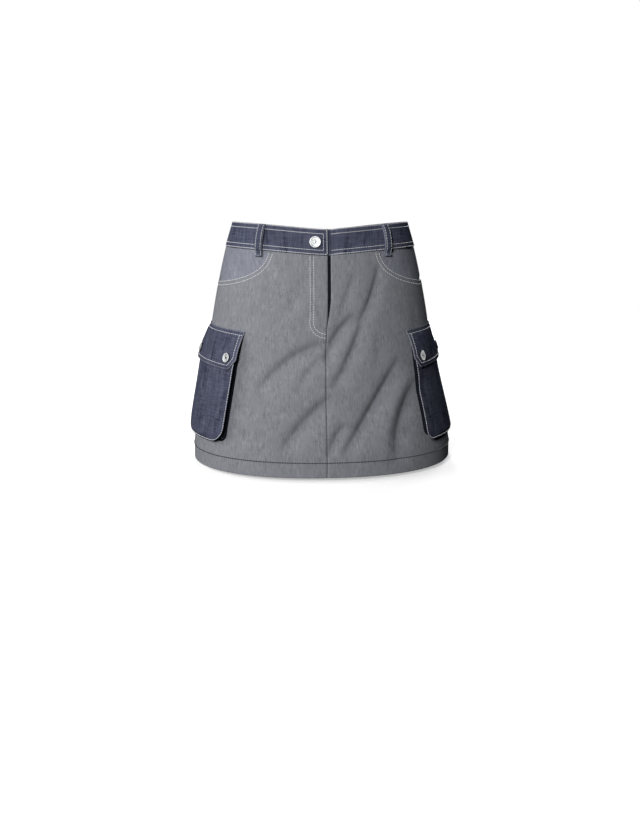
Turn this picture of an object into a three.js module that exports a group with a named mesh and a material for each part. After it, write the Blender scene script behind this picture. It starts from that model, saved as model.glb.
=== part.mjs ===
// A short A-line cargo skort in chambray with denim trim, shaped as it hangs on a figure and hollow inside.
// Millimetres, +Z up. The front faces -Y and the wearer's left is +X. The origin is the middle of the waist
// opening, level with the top edge at the sides. A place on the skirt is given by its angle round the figure
// (0 at the centre front, 90 at the wearer's left, 180 at the centre back) and its drop below the origin.

import * as THREE from 'three';
import { mergeVertices } from 'three/addons/utils/BufferGeometryUtils.js';

// Driving dimensions

const HEM_DROP = 365;        // level of the hem
const HEM_TURN = 22.5;       // depth of the turned-up hem
const CLOTH = 1.3;           // one chambray or denim wall
const SEAM = 0.3;            // gap left where two pieces meet
const SQUARENESS = 2.2;      // 2 is an ellipse, more is squarer

const BAND_HEIGHT = 36.5;
const BAND_OUT = 0.9;        // the band's face stands this far outside the panels
const BAND_THICK = 3;
const WAIST_DIP_FRONT = 11;
const WAIST_DIP_BACK = 14;
const LAP_UNDER = 34;        // how far the left band end runs under the right one
const LAP_CLEAR = 2;         // from the lap's end to where the left half starts to rise
const LAP_RISE = 18;         // and the length of that rise

const SCOOP_START = 41;      // angle where the pocket mouth leaves the waistband
const SCOOP_BOTTOM = 88;     // drop of the mouth at the side seam
const FACING_UNDER = 14;     // how far the facing runs below the mouth's edge
const FACING_START = 36;     // angle of its front edge
const FACING_GAP = 0.6;      // between the fronts and what lies behind them
const FLY_BASE = 163;        // drop where the fly opening ends
const FLY_GAP = 3.6;         // opening between the lap edge and the other front
const SHIELD_WIDTH = 36;
const SHIELD_SHORT = 6;      // how far above the fly's base it ends
const SHIELD_PAST = 14;      // how much of it lies to the wearer's left of the lap edge

const LOOP_WIDTH = 10;
const LOOP_ANGLES = { front_right: -47.3, front_left: 47.3, back_right: -122, back_left: 122, center: 180 };

const FLAP_TOP = 152;        // drop of the flap's top edge at the side seam
const FLAP_HEIGHT = 57.5;
const FLAP_FRONT = 119;      // arc from the side seam forward to the flap's front edge
const FLAP_WIDTH = 138;
const FLAP_GAP = 1.2;        // between the flap and the pocket under it
const POCKET_NARROWER = 3;   // the pocket stands in from the flap by this much on each side
const POCKET_MOUTH = 32;     // mouth and base, measured down from the flap's top edge
const POCKET_BASE = 165;
const POCKET_DROOP = 1.5;     // the gusset's foot hangs this far below the face
const POCKET_CORNER = 11;
const POCKET_LEAN = {    // how far each pocket and flap is shifted forward, at its top and at its base
  right: [2.5, 2.5],
  left: [-5, 6],
};
const POCKET_BEND = 1400;    // radius of the flap's top edge, which is square to the side seam
const POCKET_RATE = 1.025;   // drop for each millimetre down the pocket
const POCKET_FAN = 0.0005;   // how fast the pocket widens with the flare, for each millimetre
const POCKET_LEVEL = 230;    // the level where its widths are measured

const WAIST_BUTTON = 17;
const BUTTON_FROM_LAP = 18;  // from the lap's end to the button's middle
const FLAP_BUTTON = 15;
const BUTTON_IN = 19;        // from the flap's end to its button
const BUTTON_DOWN = 41;

// The chambray's form, level by level. centre moves a level towards the wearer's left.
const SECTIONS = [
  { drop: 0, halfWidth: 133, front: 100, back: 100, centre: 0 },
  { drop: 48, halfWidth: 147.6, front: 107, back: 113, centre: 0 },
  { drop: 120, halfWidth: 163.5, front: 119, back: 131, centre: 0 },
  { drop: 230, halfWidth: 182.5, front: 135, back: 148, centre: 0 },
  { drop: 330, halfWidth: 203, front: 148, back: 157, centre: 2.5 },
  { drop: 365, halfWidth: 204.5, front: 151, back: 159, centre: 2.5 },
];

// How far the lap edge, and the seam below it, runs to the wearer's left of the middle.
const FRONT_EDGE = [
  { drop: 0, x: 4.5 },
  { drop: 125, x: 4 },
  { drop: 165, x: 1.5 },
  { drop: 365, x: -1.5 },
];

// The largest folds: soft troughs from one place to another, with a width for each side. The bow bends
// the path sideways, towards the wearer's left.
const FOLDS = [
  { fromAngle: 2, fromDrop: 172, toAngle: -40, toDrop: 246, bow: -16, depth: 3, low: 9, high: 18 },
  { fromAngle: 5, fromDrop: 246, toAngle: -26, toDrop: 330, bow: -8, depth: 2.8, low: 9, high: 16 },
  { fromAngle: 40, fromDrop: 62, toAngle: 22, toDrop: 146, bow: 4, depth: 2.2, low: 9, high: 13 },
  { fromAngle: 21, fromDrop: 132, toAngle: 0, toDrop: 200, bow: -10, depth: 2, low: 9, high: 12 },
  { fromAngle: 25, fromDrop: 140, toAngle: 4, toDrop: 238, bow: 3, depth: 2.4, low: 9, high: 13 },
  { fromAngle: 46, fromDrop: 198, toAngle: 8, toDrop: 336, bow: -1, depth: 3.8, low: 9, high: 15 },
  { fromAngle: 53, fromDrop: 240, toAngle: 38, toDrop: 350, bow: -10, depth: 2.8, low: 11, high: 14 },
  { fromAngle: 11, fromDrop: 286, toAngle: 0, toDrop: 336, bow: -3, depth: 2, low: 8, high: 11 },
  { fromAngle: 168, fromDrop: 130, toAngle: 138, toDrop: 230, bow: 0, depth: 2.2, low: 12, high: 14 },
  { fromAngle: 160, fromDrop: 236, toAngle: 146, toDrop: 350, bow: 0, depth: 2.8, low: 12, high: 14 },
  { fromAngle: -172, fromDrop: 176, toAngle: -136, toDrop: 262, bow: 0, depth: 2.4, low: 12, high: 12 },
  { fromAngle: -150, fromDrop: 260, toAngle: -158, toDrop: 350, bow: 0, depth: 2.8, low: 12, high: 12 },
];
const FOLD_RADIUS = 150;     // turns an angle into millimetres when a fold is measured

// The shorts inside: how far they stand in from the skirt, and where they part into two legs.
const SHORTS_INSET = [
  { drop: 0, inset: 4.2 },
  { drop: 60, inset: 4.2 },
  { drop: 120, inset: 8 },
  { drop: 200, inset: 15 },
  { drop: 262, inset: 27 },
];
const SHORTS_GAP = 0.8;      // between their top edge and the waistband
const SHORTS_PART = 165;
const SHORTS_FORK = 262;
const SHORTS_HEM = 314;
const LEG = { halfWidth: 82, front: 92, back: 102, spread: 8 };

// Helpers

const radians = THREE.MathUtils.degToRad;

function ease(value, from, to) {
  return THREE.MathUtils.smoothstep(value, from, to);
}

// A smooth curve through one column of a table whose rows are placed by their drop.
function along(table, column, drop) {
  const last = table.length - 1;
  const d = THREE.MathUtils.clamp(drop, table[0].drop, table[last].drop);
  let k = 0;
  while (k < last - 1 && table[k + 1].drop <= d) k += 1;
  const slope = (i) => {
    const before = table[Math.max(i - 1, 0)];
    const after = table[Math.min(i + 1, last)];
    return (after[column] - before[column]) / (after.drop - before.drop);
  };
  const span = table[k + 1].drop - table[k].drop;
  const t = (d - table[k].drop) / span;
  return (2 * t ** 3 - 3 * t ** 2 + 1) * table[k][column]
    + (t ** 3 - 2 * t ** 2 + t) * span * slope(k)
    + (3 * t ** 2 - 2 * t ** 3) * table[k + 1][column]
    + (t ** 3 - t ** 2) * span * slope(k + 1);
}

// Distance from the middle to a level's outline, in the direction of an angle.
function reach(angle, drop, inset = 0) {
  const sine = Math.sin(radians(angle));
  const cosine = Math.cos(radians(angle));
  const across = along(SECTIONS, 'halfWidth', drop) - inset;
  const deep = along(SECTIONS, cosine > 0 ? 'front' : 'back', drop) - inset;
  return (Math.abs(sine / across) ** SQUARENESS + Math.abs(cosine / deep) ** SQUARENESS) ** (-1 / SQUARENESS);
}

function ringPoint(angle, drop, inset = 0) {
  const r = reach(angle, drop, inset);
  const x = along(SECTIONS, 'centre', drop) + r * Math.sin(radians(angle));
  return new THREE.Vector3(x, -r * Math.cos(radians(angle)), -drop);
}

// How far the folds move the cloth in or out at one place.
function foldHeight(angle, drop) {
  let height = 0;
  for (const fold of FOLDS) {
    const turn = THREE.MathUtils.euclideanModulo(angle - fold.fromAngle + 180, 360) - 180;
    const here = new THREE.Vector2(radians(turn) * FOLD_RADIUS, drop - fold.fromDrop);
    const across = radians(fold.toAngle - fold.fromAngle) * FOLD_RADIUS;
    const run = new THREE.Vector2(across, fold.toDrop - fold.fromDrop);
    const t = THREE.MathUtils.clamp(here.dot(run) / run.lengthSq(), 0, 1);
    const rest = here.sub(run.clone().multiplyScalar(t));
    const side = rest.cross(run) / run.length() - fold.bow * 4 * t * (1 - t);
    const past = rest.dot(run) / run.length();
    const away = Math.hypot(side / (side < 0 ? fold.low : fold.high), past / fold.low);
    height -= fold.depth * Math.sqrt(Math.sin(Math.PI * t)) * Math.exp(-away * away);
  }
  return height;
}

// The one form that every piece is made from: a place on the skirt, moved out along the cloth's normal.
function skirtPoint(angle, drop, out = 0) {
  const step = 0.05;
  const round = ringPoint(angle + step, drop).sub(ringPoint(angle - step, drop));
  const up = ringPoint(angle, drop - step).sub(ringPoint(angle, drop + step));
  const normal = round.cross(up).normalize();
  return ringPoint(angle, drop).addScaledVector(normal, out + foldHeight(angle, drop));
}

function bandTop(angle) {
  const dip = Math.cos(radians(angle)) > 0 ? WAIST_DIP_FRONT : WAIST_DIP_BACK;
  return dip * (1 - Math.abs(Math.sin(radians(angle))) ** 1.35);
}

function bandSeam(angle) {
  return bandTop(angle) + BAND_HEIGHT;
}

// The angle that lies a distance x to the wearer's left of the middle, on the front.
function angleAtX(x, drop) {
  return THREE.MathUtils.radToDeg(Math.atan2(x, along(SECTIONS, 'front', drop)));
}

// An angle moved round by a small distance in millimetres.
function nudge(angle, drop, distance) {
  return angle + THREE.MathUtils.radToDeg(distance / reach(angle, drop));
}

// The angle an arc's length forward of the side seam, on the wearer's left.
function angleForward(arc, drop) {
  const steps = 24;
  let angle = 90;
  for (let i = 0; i < steps; i += 1) {
    const speed = ringPoint(angle + 0.5, drop).distanceTo(ringPoint(angle - 0.5, drop));
    angle -= arc / steps / speed;
  }
  return angle;
}

function range(count, make) {
  return Array.from({ length: count + 1 }, (_, i) => make(i / count, i));
}

// Closes a grid of outer points and a matching grid of inner points into one wall.
function wall(outer, inner) {
  const rows = outer.length;
  const columns = outer[0].length;
  const points = [...outer.flat(), ...inner.flat()];
  const at = (side, i, j) => side * rows * columns + i * columns + j;
  const triangles = [];
  const quad = (a, b, c, d) => triangles.push([a, b, c], [a, c, d]);
  for (let i = 0; i < rows - 1; i += 1) {
    for (let j = 0; j < columns - 1; j += 1) {
      quad(at(0, i, j), at(0, i + 1, j), at(0, i + 1, j + 1), at(0, i, j + 1));
      quad(at(1, i, j), at(1, i, j + 1), at(1, i + 1, j + 1), at(1, i + 1, j));
    }
  }
  for (let j = 0; j < columns - 1; j += 1) {
    quad(at(0, 0, j), at(0, 0, j + 1), at(1, 0, j + 1), at(1, 0, j));
    quad(at(0, rows - 1, j), at(1, rows - 1, j), at(1, rows - 1, j + 1), at(0, rows - 1, j + 1));
  }
  for (let i = 0; i < rows - 1; i += 1) {
    quad(at(0, i, 0), at(1, i, 0), at(1, i + 1, 0), at(0, i + 1, 0));
    quad(at(0, i, columns - 1), at(0, i + 1, columns - 1), at(1, i + 1, columns - 1), at(1, i, columns - 1));
  }
  return solid(points, triangles);
}

// A closed geometry whose faces point out: shared corners are merged and triangles with no area dropped.
function solid(points, triangles) {
  const geometry = new THREE.BufferGeometry().setFromPoints(points);
  geometry.setIndex(triangles.flat());
  const merged = mergeVertices(geometry, 1e-3);
  const old = merged.index.array;
  const kept = [];
  for (let i = 0; i < old.length; i += 3) {
    const [a, b, c] = [old[i], old[i + 1], old[i + 2]];
    if (a !== b && b !== c && c !== a) kept.push([a, b, c]);
  }
  const corner = (i) => new THREE.Vector3().fromBufferAttribute(merged.attributes.position, i);
  let volume = 0;
  for (const [a, b, c] of kept) volume += corner(a).dot(corner(b).cross(corner(c)));
  merged.setIndex(kept.flatMap(([a, b, c]) => (volume > 0 ? [a, b, c] : [a, c, b])));
  merged.computeVertexNormals();
  return merged;
}

// Materials

const cloths = {
  chambray: { color: 0x7f8188, roughness: 0.92, metalness: 0 },
  facing: { color: 0x8a8b93, roughness: 0.92, metalness: 0 },
  denim: { color: 0x474b5e, roughness: 0.9, metalness: 0 },
  shorts: { color: 0x6d7078, roughness: 0.92, metalness: 0 },
  metal: { color: 0xb4b2ac, roughness: 0.35, metalness: 1 },
};

const skort = new THREE.Group();

function add(name, geometry, material) {
  const mesh = new THREE.Mesh(geometry, new THREE.MeshStandardMaterial(cloths[material]));
  mesh.name = name;
  skort.add(mesh);
  return mesh;
}

// A patch of the skirt's form as a wall. angleAt(s, drop) and top(angle) give its edges, s running from 0
// at its first edge to 1 at its last, and out is the offset of its outer face.
function patch({ columns, rows, angleAt, top, bottom, out = () => 0, thick = () => CLOTH }) {
  const grid = (face) => range(rows.length - 1, (_, i) => columns.map((s) => {
    const first = top(angleAt(s, bandSeam(0)));
    const last = bottom(angleAt(s, bandSeam(0)));
    const drop = first + (last - first) * rows[i];
    const angle = angleAt(s, drop);
    return skirtPoint(angle, drop, out(angle, drop) - (face ? thick(drop) : 0));
  }));
  return wall(grid(0), grid(1));
}

// Fronts: each runs from the fly edge to the side seam, and its top follows the waistband and then the
// scooped pocket mouth. The hem is turned up inside.

function scoopDrop(angle) {
  const u = THREE.MathUtils.clamp((Math.abs(angle) - SCOOP_START) / (90 - SCOOP_START), 0, 1);
  const height = SCOOP_BOTTOM - bandSeam(SCOOP_START);
  return SCOOP_BOTTOM - height * (1 - Math.sqrt(u)) ** 2;
}

function frontTop(angle) {
  const turn = Math.abs(angle);
  return turn > SCOOP_START ? scoopDrop(angle) + SEAM : bandSeam(angle) + SEAM;
}

function flyGap(drop) {
  return SEAM + (FLY_GAP - SEAM) * (1 - ease(drop, 118, FLY_BASE));
}

const hemThick = (drop) => (drop > HEM_DROP - HEM_TURN ? 2 * CLOTH : CLOTH);
const hemRow = 1 - HEM_TURN / (HEM_DROP - BAND_HEIGHT);
const turnStep = 0.004;
const panelRows = (count) => [...range(count, (t) => t * (hemRow - turnStep)), hemRow + turnStep, 1];
const scoopShare = SCOOP_START / 90;
const frontColumns = [
  ...range(8, (t) => t * scoopShare),
  ...range(12, (t) => scoopShare + (1 - scoopShare) * t ** 1.35).slice(1),
];

for (const [side, sign] of [['right', -1], ['left', 1]]) {
  const flyEdge = (drop) => {
    const x = along(FRONT_EDGE, 'x', drop) + (sign > 0 ? flyGap(drop) : 0);
    return angleAtX(x, drop);
  };
  add(`front_${side}`, patch({
    columns: frontColumns,
    rows: panelRows(17),
    angleAt: (s, drop) => {
      const sideSeam = sign * nudge(90, drop, -SEAM / 2);
      return flyEdge(drop) + (sideSeam - flyEdge(drop)) * s;
    },
    top: frontTop,
    bottom: () => HEM_DROP,
    thick: hemThick,
  }), 'chambray');

  add(`back_${side}`, patch({
    columns: range(13, (t) => t),
    rows: panelRows(11),
    angleAt: (s, drop) => {
      const sideSeam = nudge(90, drop, SEAM / 2);
      const backSeam = nudge(180, drop, -SEAM / 2);
      return sign * (sideSeam + (backSeam - sideSeam) * s);
    },
    top: (angle) => bandSeam(angle) + SEAM,
    bottom: () => HEM_DROP,
    thick: hemThick,
  }), 'chambray');

  // The facing fills the scooped mouth from behind the front, up to the waistband.
  add(`pocket_facing_${side}`, patch({
    columns: range(10, (t) => t ** 1.4),
    rows: range(4, (t) => t),
    angleAt: (s, drop) => {
      const sideSeam = nudge(90, drop, -SEAM / 2);
      return sign * (FACING_START + (sideSeam - FACING_START) * s);
    },
    top: (angle) => bandSeam(angle) + SEAM,
    bottom: (angle) => scoopDrop(angle) + FACING_UNDER,
    out: () => -CLOTH - FACING_GAP,
  }), 'facing');
}

// The strip behind the fly opening.
add('fly_shield', patch({
  columns: range(4, (t) => t),
  rows: range(6, (t) => t),
  angleAt: (s, drop) => angleAtX(along(FRONT_EDGE, 'x', drop) + SHIELD_PAST - SHIELD_WIDTH * s, drop),
  top: (angle) => bandSeam(angle) + SEAM,
  bottom: () => FLY_BASE - SHIELD_SHORT,
  out: () => -CLOTH - FACING_GAP,
}), 'denim');

// Waistband: two halves that meet at the centre back. At the front the left half dips inwards and runs
// under the right half, which ends in a square lap.

for (const [side, sign] of [['right', -1], ['left', 1]]) {
  const lapX = FRONT_EDGE[0].x;
  const frontX = sign > 0 ? lapX - LAP_UNDER : lapX;
  const dip = (angle) => {
    const x = reach(angle, BAND_HEIGHT / 2) * Math.sin(radians(angle));
    return sign > 0 ? (BAND_THICK + SEAM) * (1 - ease(x, lapX + LAP_CLEAR, lapX + LAP_CLEAR + LAP_RISE)) : 0;
  };
  add(`waistband_${side}`, patch({
    columns: range(24, (t) => (sign > 0 ? t ** 1.3 : t)),
    rows: range(3, (t) => t),
    angleAt: (s, drop) => {
      const first = angleAtX(frontX, drop);
      const backSeam = sign * nudge(180, drop, -SEAM / 2);
      return first + (backSeam - first) * s;
    },
    top: bandTop,
    bottom: bandSeam,
    out: (angle) => BAND_OUT - dip(Math.abs(angle) < 90 ? angle : 90),
    thick: () => BAND_THICK,
  }), 'denim');
}

// Belt loops: flat strips from the band's top edge to just below its seam, bowed away from it between.

const loopPath = [
  { along: 0.02, out: 0.3 },
  { along: 0.12, out: 2.6 },
  { along: 0.4, out: 4.6 },
  { along: 0.75, out: 4.4 },
  { along: 1.0, out: 2.4 },
  { along: 1.1, out: -0.6 },
  { along: 1.25, out: -0.6 },
];
const loopThick = 1.6;

for (const [place, angle] of Object.entries(LOOP_ANGLES)) {
  const grid = (out) => loopPath.map((stop) => range(2, (t) => {
    const drop = bandTop(angle) + BAND_HEIGHT * stop.along;
    const place = nudge(angle, drop, LOOP_WIDTH * (t - 0.5));
    return skirtPoint(place, drop, BAND_OUT + stop.out + out);
  }));
  add(`belt_loop_${place}`, wall(grid(loopThick), grid(0)), 'denim');
}

// Cargo pockets: a face standing off the skirt on a gusset, open at the top, under a buttoned flap. The top
// edge is square to the side seam and the base is level with the hem. A place on a pocket is an arc forward
// of the side seam, and a distance down.

const pocketFront = FLAP_FRONT - POCKET_NARROWER;
const pocketBack = FLAP_FRONT - FLAP_WIDTH + POCKET_NARROWER;
const pocketMiddle = (pocketFront + pocketBack) / 2;
const pocketHalf = (pocketFront - pocketBack) / 2;

function pocketPoint(sign, arc, down, out) {
  const bend = (arc ** 2 / (2 * POCKET_BEND)) * (1 - down / POCKET_BASE);
  const drop = FLAP_TOP + POCKET_RATE * down + bend;
  const [atTop, atBase] = sign < 0 ? POCKET_LEAN.right : POCKET_LEAN.left;
  const forward = arc + atTop + (atBase - atTop) * (down / POCKET_BASE);
  const spread = forward * (1 + POCKET_FAN * (drop - POCKET_LEVEL));
  return skirtPoint(sign * angleForward(spread, drop), drop, out);
}

// How far the pocket's face stands off: deep along its edges, flatter over the hip.
function faceDepth(arc, down) {
  const edge = 9 + 3 * ease(down, POCKET_MOUTH, POCKET_MOUTH + 25);
  const middle = 1.9 + 3.5 * ease(down, 45, 115);
  const m = Math.min(Math.abs(arc - pocketMiddle) / pocketHalf, 1);
  return middle + (edge - middle) * m ** 2.2;
}

function pocketGrid(sign, inset) {
  const foot = SEAM;
  const corner = POCKET_CORNER - inset;
  const base = POCKET_BASE - inset;
  const straight = range(7, (t) => POCKET_MOUTH + (base - corner - POCKET_MOUTH) * t);
  const rounded = [30, 60, 90].map((turn) => base - corner + corner * Math.sin(radians(turn)));
  const rows = [...straight, ...rounded].map((down) => {
    const lift = THREE.MathUtils.clamp((down - base + corner) / corner, 0, 1);
    const half = pocketHalf - inset - corner * (1 - Math.sqrt(1 - lift ** 2));
    const places = range(12, (t) => pocketMiddle + half * (1 - 2 * t));
    const face = places.map((arc) => pocketPoint(sign, arc, down, faceDepth(arc, down) - inset));
    const feet = places.map((arc) => pocketPoint(sign, arc, down + POCKET_DROOP * lift, foot));
    return { face: [feet[0], ...face, feet.at(-1)], feet: [feet[0], ...feet, feet.at(-1)] };
  });
  return [...rows.map((row) => row.face), rows.at(-1).feet];
}

// The flap lies on the skirt along its sewn top edge and rides up over the pocket.
function flapOut(arc, down) {
  const over = faceDepth(arc, Math.max(down, POCKET_MOUTH)) + FLAP_GAP;
  return SEAM + (over - SEAM) * THREE.MathUtils.clamp((down - 5) / (POCKET_MOUTH - 5), 0, 1);
}

const flapThick = 1.5;
const chamfer = { across: 12, down: 15 };
const flapRows = [0, 5, 14, 23, 32, FLAP_HEIGHT - chamfer.down, FLAP_HEIGHT - 5, FLAP_HEIGHT];

function flapGrid(sign, out) {
  const middle = FLAP_FRONT - FLAP_WIDTH / 2;
  return flapRows.map((down) => {
    const cut = Math.max(down - (FLAP_HEIGHT - chamfer.down), 0) / chamfer.down;
    const half = FLAP_WIDTH / 2 - chamfer.across * cut;
    return range(14, (t) => {
      const arc = middle + half * (1 - 2 * t);
      return pocketPoint(sign, arc, down, flapOut(arc, down) + out);
    });
  });
}

for (const [side, sign] of [['right', -1], ['left', 1]]) {
  add(`cargo_pocket_${side}`, wall(pocketGrid(sign, 0), pocketGrid(sign, CLOTH)), 'denim');
  add(`pocket_flap_${side}`, wall(flapGrid(sign, flapThick), flapGrid(sign, 0)), 'denim');
}

// Buttons: shank buttons with a rolled rim, a sunk ring and a low round centre. Each lies on its piece.

function button(name, diameter, place) {
  const r = diameter / 2;
  const profile = [
    [0, 0], [0.86, 0], [1, 0.12], [0.97, 0.27], [0.8, 0.33], [0.62, 0.22], [0.3, 0.22], [0.22, 0.3], [0, 0.3],
  ].map(([across, high]) => new THREE.Vector2(across * r, high * r));
  const lathe = new THREE.LatheGeometry(profile, 18);
  lathe.deleteAttribute('uv');
  lathe.deleteAttribute('normal');
  const corners = range(lathe.attributes.position.count - 1, (_, i) => (
    new THREE.Vector3().fromBufferAttribute(lathe.attributes.position, i)));
  const old = Array.from(lathe.index.array);
  const faces = range(old.length / 3 - 1, (_, i) => old.slice(3 * i, 3 * i + 3));
  const mesh = add(name, solid(corners, faces), 'metal');
  const round = place(r, 0).sub(place(-r, 0));
  const down = place(0, r).sub(place(0, -r));
  const outward = round.cross(down).normalize();
  if (outward.dot(place(0, 0).setZ(0)) < 0) outward.negate();
  const rim = [[r, 0], [-r, 0], [0, r], [0, -r], [0, 0]];
  const high = Math.max(...rim.map(([across, low]) => place(across, low).dot(outward)));
  const seat = place(0, 0);
  mesh.quaternion.setFromUnitVectors(new THREE.Vector3(0, 1, 0), outward);
  mesh.position.copy(seat).addScaledVector(outward, high - seat.dot(outward) + SEAM);
}

button('waist_button', WAIST_BUTTON, (across, down) => {
  const drop = bandTop(0) + BAND_HEIGHT / 2 + down;
  return skirtPoint(angleAtX(FRONT_EDGE[0].x - BUTTON_FROM_LAP + across, drop), drop, BAND_OUT);
});

for (const [side, sign] of [['right', -1], ['left', 1]]) {
  const ends = { front: FLAP_FRONT - BUTTON_IN, back: FLAP_FRONT - FLAP_WIDTH + BUTTON_IN };
  for (const [end, arc] of Object.entries(ends)) {
    button(`flap_button_${side}_${end}`, FLAP_BUTTON, (across, low) => {
      const down = BUTTON_DOWN + low;
      return pocketPoint(sign, arc + across, down, flapOut(arc + across, down) + flapThick);
    });
  }
}

// Shorts: plain, and hung inside the waistband. Each side has a front and a back, which meet each other at
// the side seam and the inseam, and meet the other side's at the centre down to the fork. s runs from the
// centre front round the side to the centre back. A level of 0 stands for the waistband's seam.

function shortsPoint(s, down) {
  const level = down === 0 ? bandSeam(180 * s) + SHORTS_GAP : down;
  const turn = THREE.MathUtils.clamp((level - SHORTS_PART) / (SHORTS_FORK - SHORTS_PART), 0, 1);
  const closing = 1 - Math.sqrt(1 - turn ** 2);
  const body = ringPoint(180 * s, level, along(SHORTS_INSET, 'inset', level));
  body.x -= along(SECTIONS, 'centre', level);
  const spread = LEG.spread * THREE.MathUtils.clamp((level - SHORTS_FORK) / (SHORTS_HEM - SHORTS_FORK), 0, 1);
  const round = 2 * Math.PI * s;
  const deep = s < 0.5 ? LEG.front : LEG.back;
  const legX = LEG.halfWidth + spread - LEG.halfWidth * Math.cos(round);
  const leg = new THREE.Vector3(legX, -deep * Math.sin(round), -level);
  const point = body.lerp(leg, closing);
  point.x = Math.max(point.x, SEAM / 2);
  return point;
}

// The same grid moved in along its own normals. The edges stay on their plane: the middle one between the
// two sides down to the fork, and the one through the inseam below it.
function thicken(grid, thick, planeRows) {
  return grid.map((row, i) => row.map((point, j) => {
    const above = grid[Math.max(i - 1, 0)][j];
    const below = grid[Math.min(i + 1, grid.length - 1)][j];
    const before = row[Math.max(j - 1, 0)];
    const after = row[Math.min(j + 1, row.length - 1)];
    const inward = after.clone().sub(before).cross(above.clone().sub(below)).normalize().negate();
    if (j === 0 || j === row.length - 1) inward.setComponent(i < planeRows ? 0 : 1, 0).normalize();
    return point.clone().addScaledVector(inward, thick);
  }));
}

const forkRows = [0, 20, 40, 60, 75, 90];
const shortsLevels = [
  0, 80, 120,
  ...forkRows.map((turn) => SHORTS_PART + (SHORTS_FORK - SHORTS_PART) * Math.sin(radians(turn))),
  288, SHORTS_HEM,
];
const halfColumns = 10;

for (const [side, sign] of [['right', -1], ['left', 1]]) {
  const outer = shortsLevels.map((level) => range(2 * halfColumns, (s) => shortsPoint(s, level)));
  const inner = thicken(outer, CLOTH, shortsLevels.length - 3);
  for (const [end, first, way] of [['front', 0, -1], ['back', halfColumns, 1]]) {
    const cut = (grid) => grid.map((row) => row.slice(first, first + halfColumns + 1).map((point, j) => {
      const shift = j === 0 || j === halfColumns ? (way * SEAM) / 2 : 0;
      return new THREE.Vector3(sign * point.x, point.y + shift, point.z);
    }));
    add(`shorts_${end}_${side}`, wall(cut(outer), cut(inner)), 'shorts');
  }
}

export default skort;
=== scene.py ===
# A short A-line cargo skort as it hangs on a figure: grey chambray over plain shorts, with a dark denim
# waistband, belt loops and buttoned cargo pockets, topstitched in white. Places on the skirt are an angle
# round the figure (0 at the centre front, 90 at the wearer's left) and a drop below the waist, in mm.

import bmesh
import bpy
import numpy as np
from mathutils import Matrix, Vector


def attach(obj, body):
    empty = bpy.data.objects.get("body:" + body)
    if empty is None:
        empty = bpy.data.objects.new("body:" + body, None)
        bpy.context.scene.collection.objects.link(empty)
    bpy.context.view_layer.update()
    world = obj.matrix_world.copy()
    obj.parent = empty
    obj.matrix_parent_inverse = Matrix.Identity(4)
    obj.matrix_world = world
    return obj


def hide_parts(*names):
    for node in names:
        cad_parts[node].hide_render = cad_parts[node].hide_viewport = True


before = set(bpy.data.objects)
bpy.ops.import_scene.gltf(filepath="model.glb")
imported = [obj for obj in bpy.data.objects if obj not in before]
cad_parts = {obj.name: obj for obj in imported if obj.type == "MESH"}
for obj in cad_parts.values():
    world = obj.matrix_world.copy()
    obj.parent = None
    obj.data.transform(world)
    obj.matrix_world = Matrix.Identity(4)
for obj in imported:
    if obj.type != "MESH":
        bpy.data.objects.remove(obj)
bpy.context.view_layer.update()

MM = 0.001
# the wearer's sides, and the sign of x on each
SIDES = (("right", -1), ("left", 1))

# Fronts
# Two panels of light cotton chambray, cut on the straight grain and sewn at the centre below the fly. The
# wearer's right front laps over the left one, and the hem is turned up 22.5 mm and sewn in navy thread.

# drop, half width, depth of the front, depth of the back, middle to the wearer's left
LEVELS = np.array([
    (0, 133, 100, 100, 0),
    (48, 147.6, 107, 113, 0),
    (120, 163.5, 119, 131, 0),
    (230, 182.5, 135, 148, 0),
    (330, 203, 148, 157, 2.5),
    (365, 204.5, 151, 159, 2.5),
])
HALF_WIDTH, FRONT_DEPTH, BACK_DEPTH, MIDDLE = 1, 2, 3, 4
SQUARENESS = 2.2

# Troughs from one place to another. The bow bends the path sideways, towards the wearer's left.
# from angle, from drop, to angle, to drop, bow, depth, width on the low-angle side, on the high-angle side
FOLDS = [
    (2, 172, -40, 246, -16, 3, 9, 18),
    (5, 246, -26, 330, -8, 2.8, 9, 16),
    (40, 62, 22, 146, 4, 2.2, 9, 13),
    (21, 132, 0, 200, -10, 2, 9, 12),
    (25, 140, 4, 238, 3, 2.4, 9, 13),
    (46, 198, 8, 336, -1, 3.8, 9, 15),
    (53, 240, 38, 350, -10, 2.8, 11, 14),
    (11, 286, 0, 336, -3, 2, 8, 11),
    (168, 130, 138, 230, 0, 2.2, 12, 14),
    (160, 236, 146, 350, 0, 2.8, 12, 14),
    (-172, 176, -136, 262, 0, 2.4, 12, 12),
    (-150, 260, -158, 350, 0, 2.8, 12, 12),
]

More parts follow.
